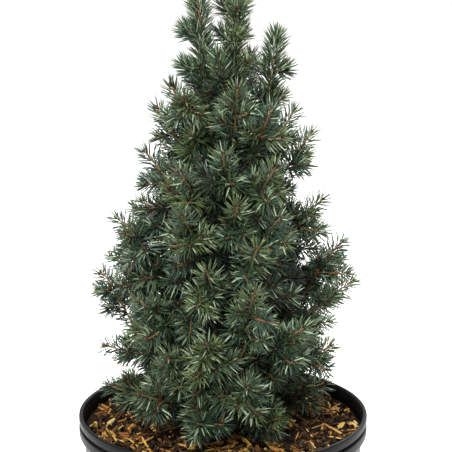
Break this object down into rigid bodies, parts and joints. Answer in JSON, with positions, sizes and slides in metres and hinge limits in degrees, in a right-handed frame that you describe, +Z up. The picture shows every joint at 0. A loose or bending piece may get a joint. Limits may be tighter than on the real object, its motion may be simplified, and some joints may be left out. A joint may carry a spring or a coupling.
{
  "type": "potted dwarf spruce",
  "caption": "Young dwarf spruce with an upright trunk, rising boughs and dense short needles, in a round black nursery pot topped with bark mulch.",
  "frame": {"origin": "centre of the pot's flat underside, on the surface the pot stands on", "axes": "+Z up the trunk, -Y towards the front of the plant, +X to its right seen from the front"},
  "size_m": [0.19, 0.19, 0.441],
  "materials": {
    "pot_plastic": "black moulded polypropylene, satin",
    "potting_mix": "dark peat under golden brown bark and wood chips",
    "bark": "orange brown young bark with scaly relief",
    "needles": "blue green waxy needles, yellower at the shoot tips"
  },
  "bodies": {
    "root": {"bough_fan_right": "bark", "bough_left_leader": "bark", "bough_right_spire": "bark", "bough_rising_left": "bark", "bough_skirt_right": "bark", "bough_tall_front": "bark", "bough_upper_front": "bark", "foliage_back_1": "needles", "foliage_back_10": "needles", "foliage_back_2": "needles", "foliage_back_3": "needles", "foliage_back_4": "needles", "foliage_back_5": "needles", "foliage_back_6": "needles", "foliage_back_7": "needles", "foliage_back_8": "needles", "foliage_back_9": "needles", "foliage_fan_right": "needles", "foliage_far_right": "needles", "foliage_front_tuft": "needles", "foliage_high_front": "needles", "foliage_high_front_left": "needles", "foliage_high_front_right": "needles", "foliage_high_left": "needles", "foliage_high_right": "needles", "foliage_leader": "needles", "foliage_left_leader": "needles", "foliage_long_left": "needles", "foliage_low_front": "needles", "foliage_low_front_left": "needles", "foliage_middle_front": "needles", "foliage_middle_front_left": "needles", "foliage_middle_front_right": "needles", "foliage_middle_left": "needles", "foliage_middle_right": "needles", "foliage_right_spire": "needles", "foliage_rising_left": "needles", "foliage_shoulder_left": "needles", "foliage_shoulder_right": "needles", "foliage_side_front_left": "needles", "foliage_side_front_right": "needles", "foliage_skirt_front": "needles", "foliage_skirt_front_left": "needles", "foliage_skirt_front_low": "needles", "foliage_skirt_front_right": "needles", "foliage_skirt_left": "needles", "foliage_skirt_left_back": "needles", "foliage_skirt_left_low": "needles", "foliage_skirt_low_right": "needles", "foliage_skirt_right": "needles", "foliage_skirt_right_back": "needles", "foliage_tall_front": "needles", "foliage_upper_front": "needles", "foliage_upper_front_right": "needles", "foliage_upper_left": "needles", "foliage_wide_left": "needles", "pot": "pot_plastic", "soil": "potting_mix", "trunk": "bark"}
  },
  "joints": []
}
